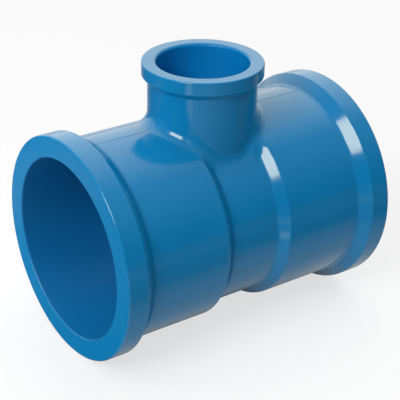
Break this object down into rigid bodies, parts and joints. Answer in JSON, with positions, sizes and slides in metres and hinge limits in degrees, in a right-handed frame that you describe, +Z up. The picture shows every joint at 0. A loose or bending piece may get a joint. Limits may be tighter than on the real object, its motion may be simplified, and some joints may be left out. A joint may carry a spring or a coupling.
{
  "type": "reducing tee",
  "caption": "Moulded pipe tee with two beaded run sockets in line and a smaller beaded branch socket standing on a stepped waist.",
  "frame": {"origin": "where the axis of the run and the axis of the branch cross, in the middle of the run's waterway", "axes": "+X along the run, out of one of its two sockets; +Z up the branch, out of its socket; +Y across the fitting"},
  "size_m": [0.087, 0.0624, 0.0759],
  "materials": {
    "blue_pvc": "glossy injection-moulded PVC-U, solid blue"
  },
  "bodies": {
    "root": {"tee_body": "blue_pvc"}
  },
  "joints": []
}
